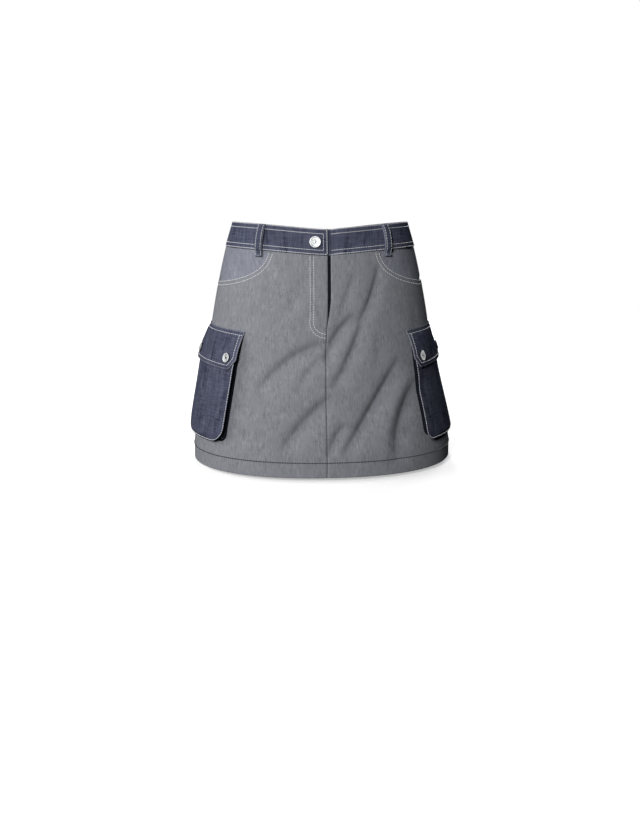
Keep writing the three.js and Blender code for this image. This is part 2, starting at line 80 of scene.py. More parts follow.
# Sharper creases laid over them, in the same columns. A minus depth is a ridge.
CREASES = [
    (2, 172, -40, 246, -16, 2.4, 6, 20),
    (5, 186, -17, 242, -11, 2.2, 5.5, 14),
    (5, 246, -26, 330, -8, 2.6, 6, 18),
    (-47, 234, -48, 282, 1, 0.6, 5, 6),
    (-38, 55, -27, 90, 0, -0.9, 4, 4),
    (-42, 64, -44, 128, 0, -0.9, 4, 4),
    (-30, 64, -29, 110, 0, 0.5, 5, 5),
    (-24, 92, -20, 132, 1, 0.6, 7, 7),
    (22, 72, 9, 130, 1, 2, 5.5, 10),
    (40, 62, 22, 146, 4, 2.6, 5, 12),
    (21, 132, 0, 200, -10, 3.2, 5.5, 12),
    (20, 152, 5, 222, 3, -0.9, 8, 6),
    (25, 140, 4, 238, 3, 2.4, 5.5, 12),
    (35, 158, 33, 214, 0, 1.3, 9, 12),
    (46, 198, 8, 336, -1, 3.2, 5.5, 16),
    (51, 222, 31, 348, -12, -2.6, 14, 8),
    (57, 226, 38, 350, -13, 2.2, 5.5, 18),
    (11, 286, 0, 336, -3, 2.2, 5, 10),
    (62, 120, 58, 190, 2, 0.6, 8, 6),
    (-6, 58, -8, 96, 1, 0.5, 5, 5),
    (-12, 74, -26, 118, 2, 0.8, 9, 9),
    (-16, 96, -34, 150, 3, 0.8, 9, 10),
    (-8, 118, -14, 152, 1, 0.5, 7, 7),
    (-46, 196, -47, 300, 1, 0.7, 7, 7),
    (166, 136, 140, 226, 4, 1.2, 6, 9),
    (158, 240, 145, 346, 4, 1.6, 6, 10),
    (-170, 180, -138, 258, -4, 1.3, 5, 9),
    (-151, 264, -158, 346, 2, 1.5, 5, 9),
    (176, 200, 168, 300, 2, 0.9, 5, 5),
    (-163, 90, -150, 150, -2, 0.8, 5, 7),
    (92, 324, 92, 440, 0, -2.6, 30, 24),
    (112, 250, 121, 340, -2, 1.2, 6, 8),
    (-118, 240, -124, 336, 2, 1.2, 6, 8),
]
FOLD_RADIUS = 150


def along(table, column, drop):
    """A smooth curve through one column of a table whose rows are placed by their drop."""
    places, values = table[:, 0], table[:, column]
    last = len(places) - 1
    before = np.maximum(np.arange(last + 1) - 1, 0)
    after = np.minimum(np.arange(last + 1) + 1, last)
    slope = (values[after] - values[before]) / (places[after] - places[before])
    d = np.clip(drop, places[0], places[last])
    k = np.clip(np.searchsorted(places, d, side="right") - 1, 0, last - 1)
    span = places[k + 1] - places[k]
    t = (d - places[k]) / span
    return (
        (2 * t**3 - 3 * t**2 + 1) * values[k]
        + (t**3 - 2 * t**2 + t) * span * slope[k]
        + (3 * t**2 - 2 * t**3) * values[k + 1]
        + (t**3 - t**2) * span * slope[k + 1]
    )


def ease(value, low, high):
    """0 up to low, 1 past high, and a smooth step between."""
    t = np.clip((value - low) / (high - low), 0, 1)
    return t * t * (3 - 2 * t)


def reach(angle, drop, inset=0):
    """Distance from the middle to a level's outline, less an inset, in the direction of an angle."""
    sine, cosine = np.sin(np.radians(angle)), np.cos(np.radians(angle))
    deep = np.where(cosine > 0, along(LEVELS, FRONT_DEPTH, drop), along(LEVELS, BACK_DEPTH, drop)) - inset
    across = along(LEVELS, HALF_WIDTH, drop) - inset
    return (np.abs(sine / across) ** SQUARENESS + np.abs(cosine / deep) ** SQUARENESS) ** (-1 / SQUARENESS)


def ring_point(angle, drop):
    """A place on the skirt's plain outline, with no folds."""
    r = reach(angle, drop)
    x = along(LEVELS, MIDDLE, drop) + r * np.sin(np.radians(angle))
    return np.stack([x, -r * np.cos(np.radians(angle)), -drop + 0 * r], axis=-1)


def fold_height(angle, drop):
    """How far the folds and creases move the cloth in or out."""
    height = 0 * (angle + drop)
    for from_angle, from_drop, to_angle, to_drop, bow, depth, low, high in FOLDS + CREASES:
        turn = (angle - from_angle + 180) % 360 - 180
        x, y = np.radians(turn) * FOLD_RADIUS, drop - from_drop
        run_x, run_y = np.radians(to_angle - from_angle) * FOLD_RADIUS, to_drop - from_drop
        length = np.hypot(run_x, run_y)
        t = np.clip((x * run_x + y * run_y) / length**2, 0, 1)
        side = (x - t * run_x) * run_y / length - (y - t * run_y) * run_x / length
        past = (x - t * run_x) * run_x / length + (y - t * run_y) * run_y / length
        side = side - bow * 4 * t * (1 - t)
        wide = np.where(side < 0, low, high)
        away = (side / wide) ** 2 + (past / low) ** 2
        height = height - depth * np.sqrt(np.sin(np.pi * t)) * np.exp(-away)
    return height


def skirt_point(angle, drop, out=0.0):
    """A place on the skirt, moved out along the cloth's normal."""
    step = 0.05
    around = ring_point(angle + step, drop) - ring_point(angle - step, drop)
    up = ring_point(angle, drop - step) - ring_point(angle, drop + step)
    normal = np.cross(around, up)
    normal /= np.linalg.norm(normal, axis=-1, keepdims=True)
    return ring_point(angle, drop) + normal * (out + fold_height(angle, drop))[..., None]


def nudge(angle, drop, distance):
    """An angle moved round by a small distance."""
    return angle + np.degrees(distance / reach(angle, drop))


def angle_at(x, drop):
    """The angle that lies a distance x to the wearer's left of the middle, on the front."""
    return np.degrees(np.arctan2(x, along(LEVELS, FRONT_DEPTH, drop)))


BAND_HEIGHT = 36.5
FRONT_DIP = 11
BACK_DIP = 14
DIP_SHAPE = 1.35
EDGE_ROLL = 1.1


def band_top(angle):
    """The drop of the waistband's top edge, which dips at the front and back."""
    dip = np.where(np.cos(np.radians(angle)) > 0, FRONT_DIP, BACK_DIP)
    return dip * (1 - np.abs(np.sin(np.radians(angle))) ** DIP_SHAPE)


def band_seam(angle):
    """The drop of the seam between the waistband and the skirt."""
    return band_top(angle) + BAND_HEIGHT


def roll(distance, radius=EDGE_ROLL):
    """How far an edge turns in, at a distance from it: a quarter of a circle."""
    inside = np.clip(1 - distance / radius, 0, 1)
    return -radius * (1 - np.sqrt(1 - inside**2))


def spans(points, axis):
    """The distances from each point of a grid to the next along one axis."""
    return np.linalg.norm(np.diff(points, axis=axis), axis=-1)


def edge_distance(points):
    """How far each corner of a grid is from its side edges, and from its top and bottom, in mm."""
    found = []
    for axis in (1, 0):
        run = np.cumsum(spans(points, axis), axis=axis)
        run = np.concatenate([np.zeros_like(np.take(run, [0], axis=axis)), run], axis=axis)
        found.append(np.minimum(run, np.take(run, [-1], axis=axis) - run))
    return np.stack(found, axis=-1)


WELD = 2e-6


def cloth_mesh(name, points, flat):
    """A grid of cloth. points are its corners in mm, and flat is where each lies on the cut cloth."""
    down, across = points.shape[0] - 1, points.shape[1] - 1
    bm = bmesh.new()
    bmesh.ops.create_grid(bm, x_segments=across, y_segments=down, size=1)
    grid = np.array([v.co for v in bm.verts])
    column = np.rint((grid[:, 0] + 1) / 2 * across).astype(int)
    row = np.rint((1 - grid[:, 1]) / 2 * down).astype(int)
    for vert, place in zip(bm.verts, points[row, column] * MM):
        vert.co = place
    bm.verts.index_update()
    for layer_name, where in (("cloth", flat[row, column]), ("edge", edge_distance(points)[row, column])):
        layer = bm.loops.layers.uv.new(layer_name)
        for face in bm.faces:
            face.smooth = True
            for loop in face.loops:
                loop[layer].uv = where[loop.vert.index]
    bmesh.ops.remove_doubles(bm, verts=bm.verts, dist=WELD)
    bm.normal_update()
    outward = sum(face.normal.xy.dot(face.calc_center_median().xy) for face in bm.faces)
    if outward < 0:
        bmesh.ops.reverse_faces(bm, faces=bm.faces)
    mesh = bpy.data.meshes.new(name)
    bm.to_mesh(mesh)
    bm.free()
    return mesh


def sew_in(name, mesh, material, slot, *nodes):
    """A finished object that rides on the skirt and stands for the given nodes."""
    piece = bpy.data.objects.new(name, mesh)
    bpy.context.scene.collection.objects.link(piece)
    mesh.materials.append(material)
    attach(piece, "root")
    if nodes:
        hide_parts(*nodes)
    return piece


def cut_cloth(name, points, flat, thick, material, slot, node, edge=0):
    """A sheet of cloth with its thickness, mapped at the size it was cut to."""
    piece = sew_in(name, cloth_mesh(name, points, flat), material, slot, node)
    wall = piece.modifiers.new("thickness", "SOLIDIFY")
    wall.thickness = thick * MM
    wall.offset = -1
    if edge:
        rounded = piece.modifiers.new("rounded edge", "BEVEL")
        rounded.width = edge * MM
        rounded.segments = 3
        rounded.limit_method = "ANGLE"
        rounded.angle_limit = np.radians(60)
    return piece


def linear(code):
    """An sRGB hex colour as linear red, green, blue and alpha."""
    parts = [int(code[i:i + 2], 16) / 255 for i in (1, 3, 5)]
    return [c / 12.92 if c <= 0.04045 else ((c + 0.055) / 1.055) ** 2.4 for c in parts] + [1]


def add_node(tree, kind, inputs=None, **settings):
    """Adds a node with its settings. inputs holds numbers and colours, or the sockets to link."""
    added = tree.nodes.new(kind)
    for name, value in settings.items():
        setattr(added, name, value)
    for name, value in (inputs or {}).items():
        if isinstance(value, bpy.types.NodeSocket):
            tree.links.new(value, added.inputs[name])
        else:
            added.inputs[name].default_value = value
    return added


def new_material(name):
    """A material with its node tree and its shader node."""
    material = bpy.data.materials.new(name)
    material.use_nodes = True
    return material, material.node_tree, material.node_tree.nodes["Principled BSDF"]


# pale edges of the denim: partly rubbing, partly painted highlight on the rolled edges
WORN_AND_LIT_WIDTH = 2.6
RUBBED_AND_LIT_PALE = "#b4b6bd"
# how far the noise of each set of threads is shifted from that of the last
THREAD_SHIFT = (17.3, 5.9, 3.1)
# how strongly the threads show in the faintest and the strongest patches
FAINT, STRONG = 0.35, 1.65


def woven(name, dark, light, threads, contrast, patches, roughness, bump, worn_and_lit=0.0):
    """Woven cotton. threads are streaks in the cloth: width and length in mm, and how much each shows.
    They show more in some patches than in others, and patches is the size of one in mm. worn_and_lit is how
    much the cloth is made pale along its edges: partly real rubbing, partly painted highlight on rolled
    edges."""
    material, tree, _ = new_material(name)
    tree.nodes.clear()
    cloth = add_node(tree, "ShaderNodeUVMap", uv_map="cloth").outputs["UV"]
    total = None
    for number, (wide, long, share) in enumerate(threads):
        placed = add_node(tree, "ShaderNodeMapping", {
            "Vector": cloth,
            "Scale": (1 / wide, 1 / long, 1),
            "Location": tuple(number * step for step in THREAD_SHIFT),
        })
        streak = add_node(tree, "ShaderNodeTexNoise", {
            "Vector": placed.outputs["Vector"], "Scale": 1.0, "Detail": 2.0, "Roughness": 0.55,
        })
        part = add_node(tree, "ShaderNodeMath", {
            0: streak.outputs["Fac"], 1: share, 2: -share / 2,
        }, operation="MULTIPLY_ADD")
        if total is None:
            total = part.outputs[0]
        else:
            total = add_node(tree, "ShaderNodeMath", {0: total, 1: part.outputs[0]}).outputs[0]
    spread = add_node(tree, "ShaderNodeTexNoise", {"Vector": cloth, "Scale": 1 / patches, "Detail": 2.0})
    strength = add_node(tree, "ShaderNodeMapRange", {
        "Value": spread.outputs["Fac"], "From Min": 0.3, "From Max": 0.7,
        "To Min": FAINT * contrast, "To Max": STRONG * contrast,
    })
    shade = add_node(tree, "ShaderNodeMath", {
        0: total, 1: strength.outputs["Result"], 2: 0.5,
    }, operation="MULTIPLY_ADD")
    colour = add_node(tree, "ShaderNodeMix", {
        "Factor": shade.outputs[0], 6: linear(dark), 7: linear(light),
    }, data_type="RGBA")
    # pale along the edges: partly real wear, partly painted highlight where rolled edges catch the light
    if worn_and_lit:
        sides = add_node(tree, "ShaderNodeSeparateXYZ", {
            "Vector": add_node(tree, "ShaderNodeUVMap", uv_map="edge").outputs["UV"],
        })
        nearest = add_node(tree, "ShaderNodeMath", {
            0: sides.outputs["X"], 1: sides.outputs["Y"],
        }, operation="MINIMUM")
        rubbed = add_node(tree, "ShaderNodeMapRange", {
            "Value": nearest.outputs[0], "From Min": 0.0, "From Max": WORN_AND_LIT_WIDTH,
            "To Min": worn_and_lit, "To Max": 0.0,
        })
        uneven = add_node(tree, "ShaderNodeMath", {
            0: rubbed.outputs["Result"], 1: shade.outputs[0],
        }, operation="MULTIPLY")
        colour = add_node(tree, "ShaderNodeMix", {
            "Factor": uneven.outputs[0], 6: colour.outputs[2], 7: linear(RUBBED_AND_LIT_PALE),
        }, data_type="RGBA")
    raised = add_node(tree, "ShaderNodeBump", {
        "Height": shade.outputs[0], "Strength": bump, "Distance": 0.0004,
    })
    shader = add_node(tree, "ShaderNodeBsdfPrincipled", {
        "Base Color": colour.outputs[2],
        "Roughness": roughness,
        "Specular IOR Level": 0.0,
        "Normal": raised.outputs["Normal"],
    })
    add_node(tree, "ShaderNodeOutputMaterial", {"Surface": shader.outputs["BSDF"]})
    return material


# Chambray has pale warp and dark weft threads 0.4 mm apart. They are drawn 1.9 mm wide and wider so that they
# show, with slubs that run down the grain and blur into each other, and a dry, slightly fuzzy surface.
CHAMBRAY_WEAVE = {
    "threads": [(1.9, 9, 1.0), (3.6, 22, 0.5), (6, 1.9, 0.3), (12, 15, 0.4)],
    "contrast": 0.9, "patches": 22, "roughness": 0.92, "bump": 0.25,
}
chambray = woven("washed cotton chambray", "#686a70", "#9c9ea4", **CHAMBRAY_WEAVE)

HEM_DROP = 365
HEM_TURN = 22.5
HEM_FOLD = 1  # radius of the fold at the hem
HEM_TURN_ROWS = 12
SEAM = 0.3  # gap left where two pieces meet
SEWN = 0.04  # gap left along the skirt's own seams, which are closed
CHAMBRAY_THICK = 0.9
SCOOP_START = 41  # angle at which the hand pocket's mouth leaves the waistband
SCOOP_BOTTOM = 88
FLY_BASE = 163
FLY_OPEN = 4.1
FLY_CLOSING = (106, 152)
LAP_ROLL = 2.0
FRONT_COLUMNS = 130
FRONT_ROWS = 150

# drop, how far the lap's edge lies to the wearer's left of the middle
FRONT_EDGE = np.array([(0, 4.5), (125, 4), (165, 1.5), (365, -1.5)])

# where the extra rows and columns of a rolled edge lie, as shares of a panel
EDGE_COLUMNS = np.array([0, 1, 2.4, 4]) * 0.0007
EDGE_ROWS = np.array([0, 0.002, 0.0048, 0.008])


def scoop_drop(angle):
    """The hand pocket's mouth, from the waistband to the side seam."""
    u = np.clip((np.abs(angle) - SCOOP_START) / (90 - SCOOP_START), 0, 1)
    return SCOOP_BOTTOM - (SCOOP_BOTTOM - band_seam(SCOOP_START)) * (1 - np.sqrt(u)) ** 2


def fly_gap(drop):
    """How far the wearer's left front stands off the lap's edge."""
    return SEWN + FLY_OPEN * (1 - ease(drop, *FLY_CLOSING))


def close_at_ends(count):
    """Even steps from 0 to 1, with three more close to each end for a rolled edge."""
    return np.concatenate([EDGE_COLUMNS, np.linspace(0, 1, count)[1:-1], 1 - EDGE_COLUMNS[::-1]])


def hem_path(top, count):
    """Rows from a top edge down to the hem, round its fold, and up inside to the raw edge: drop and out."""
    fold = np.radians(np.linspace(0, 180, 7))
    fold_drop = HEM_DROP - HEM_FOLD
    share = np.concatenate([EDGE_ROWS, np.linspace(EDGE_ROWS[-1], 1, count)[1:]])
    straight = top + (fold_drop - top) * share[:, None]
    inside = np.linspace(fold_drop, HEM_DROP - HEM_TURN, HEM_TURN_ROWS)
    turned = np.concatenate([fold_drop + HEM_FOLD * np.sin(fold), inside])
    out = np.concatenate([0 * share, HEM_FOLD * (np.cos(fold) - 1), np.full(HEM_TURN_ROWS, -2.0 * HEM_FOLD)])
    drop = np.concatenate([straight, np.repeat(turned[:, None], top.shape[-1], axis=1)])
    return drop, out[:, None] + 0 * drop


def flat_patch(points, drop):
    """Where each corner of a patch lies on the cut cloth, with the grain straight down."""
    across = np.concatenate([np.zeros((len(points), 1)), np.cumsum(spans(points, 1), axis=1)], axis=1)
    return np.stack([across, drop + 0 * across], axis=-1)


def skirt_panel(name, node, sign, first_edge, top_of, columns, rows, edge_roll=EDGE_ROLL):
    """A panel from the middle, where first_edge gives its angle, to the side seam."""
    s = close_at_ends(columns)[None, :]
    start = first_edge(band_seam(0.0))
    top = top_of(sign * (sign * start + (90 - sign * start) * s))
    drop, out = hem_path(top, rows)
    first = first_edge(drop)
    side = sign * nudge(90.0, drop, -SEWN / 2 if abs(start) < 90 else SEWN / 2)
    angle = first + (side - first) * s
    for edge, radius in ((first, edge_roll), (side, EDGE_ROLL)):
        out = out + roll(np.abs(np.radians(angle - edge)) * reach(angle, drop), radius)
    out = out + roll(drop - top)
    points = skirt_point(angle, drop, out)
    return cut_cloth(name, points, flat_patch(points, drop), CHAMBRAY_THICK, chambray, "chambray",
                     node)


def front_top(angle):
    """The top edge of a front: the waistband's seam, then the hand pocket's mouth."""
    return np.where(np.abs(angle) > SCOOP_START, scoop_drop(angle), band_seam(angle)) + SEAM


for side, sign in SIDES:
    def fly_edge(drop, sign=sign):
        x = along(FRONT_EDGE, 1, drop) + (fly_gap(drop) if sign > 0 else 0)
        return angle_at(x, drop)

    skirt_panel(f"chambray_front_{side}", f"front_{side}", sign, fly_edge, front_top,
                FRONT_COLUMNS, FRONT_ROWS, edge_roll=LAP_ROLL)


def flat_thread(name, colour):
    """Polyester sewing thread, slightly glossy, with the twist of its two plies as a fine bump."""
    material, tree, shader = new_material(name)
    place = add_node(tree, "ShaderNodeTexCoord").outputs["Object"]
    fuzz = add_node(tree, "ShaderNodeTexNoise", {"Vector": place, "Scale": 900.0, "Detail": 2.0})
    dim = [0.72 * c for c in linear(colour)[:3]] + [1]
    shade = add_node(tree, "ShaderNodeMix", {
        "Factor": fuzz.outputs["Fac"], 6: dim, 7: linear(colour),
    }, data_type="RGBA")
    plies = add_node(tree, "ShaderNodeBump", {
        "Height": fuzz.outputs["Fac"], "Strength": 0.3, "Distance": 0.0002,
    })
    tree.links.new(shade.outputs[2], shader.inputs["Base Color"])
    tree.links.new(plies.outputs["Normal"], shader.inputs["Normal"])
    shader.inputs["Roughness"].default_value = 0.55
    return material


STITCH = 3.3
STITCH_PITCH = 3.6
THREAD = 1.0
THREAD_FLAT = 0.8  # height of a stitch as a share of its width
THREAD_RISE = 0.15  # how far its middle lies off the cloth, as a share of its width
LINE_STEPS = 6  # how much finer a row's line is sampled than it is given

# One stitch: a grain of thread with a few faces, its length along Z and its top along Y.
bm = bmesh.new()
bmesh.ops.create_uvsphere(bm, u_segments=6, v_segments=4, radius=0.5)
GRAIN = np.array([v.co for v in bm.verts])
GRAIN_FACES = [[v.index for v in face.verts] for face in bm.faces]
bm.free()


def unit(vectors):
    """Vectors scaled to a length of 1."""
    return vectors / np.linalg.norm(vectors, axis=-1, keepdims=True)


def stitch_row(surface, u, v, thread=THREAD):
    """The corners of a row of stitches that lie along the line u, v of a surface."""
    share = np.linspace(0, 1, len(u))
    t = np.linspace(0, 1, LINE_STEPS * len(u))
    u, v = np.interp(t, share, u), np.interp(t, share, v)
    line = surface(u, v, THREAD_RISE * thread)
    lift = surface(u, v, 1.0) - surface(u, v, 0.0)
    run = np.concatenate([[0], np.cumsum(spans(line, 0))])
    count = max(int(run[-1] / STITCH_PITCH), 1)
    middle = (np.arange(count) + 0.5) * run[-1] / count

    def at(values, distance):
        return np.stack([np.interp(distance, run, values[:, k]) for k in range(3)], axis=-1)

    forward = unit(at(line, middle + STITCH / 2) - at(line, middle - STITCH / 2))
    up = at(lift, middle)
    up = unit(up - (up * forward).sum(axis=-1, keepdims=True) * forward)
    axes = np.stack([thread * np.cross(up, forward), THREAD_FLAT * thread * up, STITCH * forward], axis=1)
    return at(line, middle)[:, None, :] + GRAIN @ axes


def sewing(name, rows, material, slot, thread=THREAD):
    """One object for a group of stitch rows. Each row is a surface and the line that it follows."""
    corners = np.concatenate([stitch_row(*row, thread=thread) for row in rows])
    starts = np.arange(len(corners)) * len(GRAIN)
    faces = [[start + k for k in face] for start in starts for face in GRAIN_FACES]
    mesh = bpy.data.meshes.new(name)
    mesh.from_pydata(corners.reshape(-1, 3) * MM, [], faces)
    mesh.shade_smooth()
    return sew_in(name, mesh, material, slot)


white_thread = flat_thread("white polyester topstitch thread", "#f2f3f6")
navy_thread = flat_thread("navy polyester thread", "#080a12")

# Hand pocket mouths: a row along the edge and another 5.6 mm below it.
MOUTH_ROWS_BELOW = (1.0, 6.6)
MOUTH_END = 89.6  # angle at which the rows stop short of the side seam
MOUTH_LEVEL = 70.0  # drop whose outline turns angles into lengths along the mouth
BAND_CLEAR = 0.6
MOUTH_CROWDING = 1.6  # above 1, the samples crowd towards the waistband, where the mouth bends most

mouth_rows = []
for sign in (-1, 1):
    for below in MOUTH_ROWS_BELOW:
        turn = SCOOP_START + (MOUTH_END - SCOOP_START) * np.linspace(0, 1, 60) ** MOUTH_CROWDING
        bend = np.gradient(scoop_drop(turn), np.radians(turn) * reach(turn, MOUTH_LEVEL))
        slide = below / np.hypot(1, bend)
        shifted = turn - np.degrees(slide * bend / reach(turn, MOUTH_LEVEL))
        drop = scoop_drop(turn) + slide
        keep = drop > band_seam(shifted) + BAND_CLEAR
        mouth_rows.append((skirt_point, sign * shifted[keep], drop[keep]))
sewing("mouth_stitches", mouth_rows, white_thread, "chambray")

# Fly: two rows down the lap that curve in to meet its edge at the base.
FLY_ROWS = ((25.5, 163.8), (20.2, 158))  # distance in from the lap's edge, drop of the base
FLY_ROW_TOP = band_seam(0.0) + 1.5
FLY_STRAIGHT = 138
FLY_BEND = 139
FLY_ROW_END = 0.8
STRAIGHT_STEPS = 40

fly_rows = []
for across, base in FLY_ROWS:
    curve = np.radians(np.linspace(0, 90, 24))
    straight = np.linspace(FLY_ROW_TOP, FLY_STRAIGHT, STRAIGHT_STEPS)
    drop = np.concatenate([straight, FLY_BEND + (base - FLY_BEND) * np.sin(curve)])
    edge = along(FRONT_EDGE, 1, drop)
    x = edge - across * np.concatenate([np.ones(STRAIGHT_STEPS), np.cos(curve)])
    fly_rows.append((skirt_point, angle_at(np.minimum(x, edge - FLY_ROW_END), drop), drop))
sewing("fly_stitches", fly_rows, white_thread, "chambray")

# Hem: one row of navy thread all the way round.
HEM_THREAD = 1.9

around = np.linspace(-180, 180, 400)
hem_row = (skirt_point, around, 0 * around + HEM_DROP - HEM_TURN)
sewing("hem_stitches", [hem_row], navy_thread, "chambray", thread=HEM_THREAD)

# Backs
# Two chambray panels, sewn to the fronts at the sides and to each other down the centre back.

BACK_COLUMNS = 120
BACK_ROWS = 140


def back_top(angle):
    """The top edge of a back, just below the waistband."""
    return band_seam(angle) + SEAM


for side, sign in SIDES:
    def back_seam(drop, sign=sign):
        return sign * nudge(180.0, drop, -SEWN / 2)

    skirt_panel(f"chambray_back_{side}", f"back_{side}", sign, back_seam, back_top, BACK_COLUMNS, BACK_ROWS)

# Hand pocket facings
# A slightly bluer chambray piece behind each scooped mouth, sewn in at the waistband and the side seam. It
# comes forward to the seam there.

FACING_START = 36
FACING_UNDER = 14
FACING_OUT = -1.9
# the share of its depth by which it comes forward, between two angles and two heights above the mouth
FORWARD = 0.9
FORWARD_ANGLES = (68, 89)
FORWARD_ABOVE = (9, 2)
DEGREE_LENGTH = 2.6  # along the cloth, near the side seam

facing_cloth = woven("washed cotton chambray facing", "#666872", "#9b9da8", **CHAMBRAY_WEAVE)


for side, sign in SIDES:
    s = np.linspace(0, 1, 50)[None, :]
    t = np.linspace(0, 1, 34)[:, None]
    rough = FACING_START + (90 - FACING_START) * s
    top = band_seam(rough) + SEAM
    drop = top + (scoop_drop(rough) + FACING_UNDER - top) * t
    side_seam = nudge(90.0, drop, -SEAM / 2)
    angle = sign * (FACING_START + (side_seam - FACING_START) * s)
    mouth = scoop_drop(np.abs(angle))
    above = 1 - ease(drop, mouth - FORWARD_ABOVE[0], mouth - FORWARD_ABOVE[1])
    out = FACING_OUT * (1 - FORWARD * above * ease(np.abs(angle), *FORWARD_ANGLES))
    points = skirt_point(angle, drop, out + roll((side_seam - np.abs(angle)) * DEGREE_LENGTH))
    cut_cloth(f"facing_{side}", points, flat_patch(points, drop), CHAMBRAY_THICK, facing_cloth,
              "chambray", f"pocket_facing_{side}")

# Fly shield
# A strip of near-black twill behind the fly opening, which also makes the pockets' gussets. Its darkness is
# painted shade: it stands in for the shadow in the fly's gap and under the pockets' faces.

# near-black on purpose: painted shade for the fly's gap and the gussets
shade_dark_twill = woven(
    "navy cotton twill darkened as painted shade", "#0f1117", "#23262f",
    threads=[(2.0, 20, 1.0), (16, 2.2, 0.7)],
    contrast=0.8, patches=30, roughness=0.9, bump=0.3,
)

SHIELD_WIDTH = 36
SHIELD_PAST = 14
SHIELD_OUT = -2.9
SHIELD_THICK = 1.1
SHIELD_SHORT = 6  # how far it ends above the fly's base

s = np.linspace(0, 1, 24)[None, :]
t = np.linspace(0, 1, 60)[:, None]
top = band_seam(0.0) + SEAM
drop = top + (FLY_BASE - SHIELD_SHORT - top) * t + 0 * s
angle = angle_at(along(FRONT_EDGE, 1, drop) + SHIELD_PAST - SHIELD_WIDTH * s, drop)
points = skirt_point(angle, drop, SHIELD_OUT)
cut_cloth("shield", points, flat_patch(points, drop), SHIELD_THICK, shade_dark_twill, "denim",
          "fly_shield")

# Waistband
# Denim folded over a stiffening, in two halves that meet at the centre back. The wearer's left half dips in
# and runs under the right one, which ends in a square lap with the button on it.

# The pale rims of the denim pieces are partly wear and partly painted highlight on their rolled edges.
denim = woven(
    "raw navy denim", "#282b3c", "#64687b",
    threads=[(3.2, 26, 1.0), (20, 2.4, 0.8), (7, 60, 0.6), (24, 24, 0.6)],
    contrast=0.95, patches=30, roughness=0.88, bump=0.35, worn_and_lit=0.7,
)

BAND_OUT = 0.9
BAND_THICK = 3
BAND_EDGE = 0.7  # radius of its rounded edges
BAND_LEVEL = 30.0  # drop whose outline turns lengths along the band into angles
LAP_END = FRONT_EDGE[0, 1]
LAP_UNDER = 34
LAP_CLEAR = 1.2
LAP_DEEP = 5
LAP_RISE = 12
UNDERLAP_CROWDING = 1.3  # above 1, the columns crowd towards the underlap

# the outer and the inner row of stitches: down from the top edge, up from the seam, in from the lap's end
BAND_STITCHES = ((1.0, 1.1, 1.2), (7.0, 6.6, 6.2))
BAND_ROW_END = 179.6  # angle at which the rows stop short of the centre back


def band_dip(x):
    """How far the underlap lies inside the lap."""
    rise = ease(x, LAP_END + LAP_DEEP, LAP_END + LAP_DEEP + LAP_RISE)
    return (BAND_THICK + SEAM + LAP_CLEAR) * (1 - rise)


for side, sign in SIDES:
    s = (np.linspace(0, 1, 230) ** (UNDERLAP_CROWDING if sign > 0 else 1))[None, :]
    t = np.linspace(0, 1, 26)[:, None]
    first = angle_at(LAP_END - LAP_UNDER if sign > 0 else LAP_END, band_seam(0.0) - BAND_HEIGHT / 2)
    last = sign * nudge(180.0, BAND_LEVEL, -SEAM / 2)
    angle = first + (last - first) * s + 0 * t
    drop = band_top(angle) + BAND_HEIGHT * t
    out = BAND_OUT
    if sign > 0:
        x = reach(angle, BAND_HEIGHT / 2) * np.sin(np.radians(angle))
        out = BAND_OUT - np.where(np.abs(angle) < 90, band_dip(x), 0)
    points = skirt_point(angle, drop, out)
    cut_cloth(f"band_{side}", points, flat_patch(points, drop), BAND_THICK, denim, "denim",
              f"waistband_{side}", edge=BAND_EDGE)

for side, sign in SIDES:
    def band_face(angle, down, out, sign=sign):
        x = reach(angle, BAND_HEIGHT / 2) * np.sin(np.radians(angle))
        inside = np.where(np.abs(angle) < 90, band_dip(x), 0) if sign > 0 else 0
        return skirt_point(angle, band_top(angle) + down, BAND_OUT - inside + out)

    levels = [(down, inside) for down, _, inside in BAND_STITCHES]
    levels += [(BAND_HEIGHT - up, inside) for _, up, inside in BAND_STITCHES[::-1]]
    rows = []
    for down, inside in levels:
        first = angle_at(LAP_END + LAP_DEEP if sign > 0 else LAP_END - inside, BAND_LEVEL)
        rows.append((band_face, np.linspace(first, sign * BAND_ROW_END, 300), np.full(300, down)))
    if sign < 0:
        for down, up, inside in BAND_STITCHES:
            turn = angle_at(LAP_END - inside, BAND_LEVEL)
            rows.append((band_face, np.full(20, turn), np.linspace(down, BAND_HEIGHT - up, 20)))
    sewing(f"band_stitches_{side}", rows, white_thread, "denim")

# Belt loops
# Five denim strips, 11.5 mm wide with full, rolled sides, sewn down at the band's top edge and just below
# its seam.

LOOP_WIDTH = 11.5
LOOP_THICK = 1.6
LOOP_ROLL = 2.2
LOOP_STITCH_IN = 2.2
LOOP_STITCHED = (0.05, 1.22)  # where its stitches start and end, as shares of the band's height
LOOP_THREAD = 0.8
SOFT_EDGE = 0.45  # radius of the rounded edges of loops and flaps
LOOPS = {"front_right": -47.3, "front_left": 47.3, "back_right": -122, "back_left": 122, "center": 180}

# share of the band's height, and how far the strip stands off the band
LOOP_PATH = np.array([
    (0.02, 0.3), (0.12, 2.6), (0.4, 4.6), (0.75, 4.4), (1.0, 2.4), (1.1, -0.6), (1.25, -0.6),
])


def loop_point(place, across, share, out=0.0):
    """A place on a loop's face, from a distance across it and a share of the band's height."""
    middle = LOOPS[place]
    drop = band_top(middle) + BAND_HEIGHT * share
    off = along(LOOP_PATH, 1, share) + roll(LOOP_WIDTH / 2 - np.abs(across), LOOP_ROLL)
    return skirt_point(nudge(middle, drop, across), drop, BAND_OUT + off + LOOP_THICK + out)


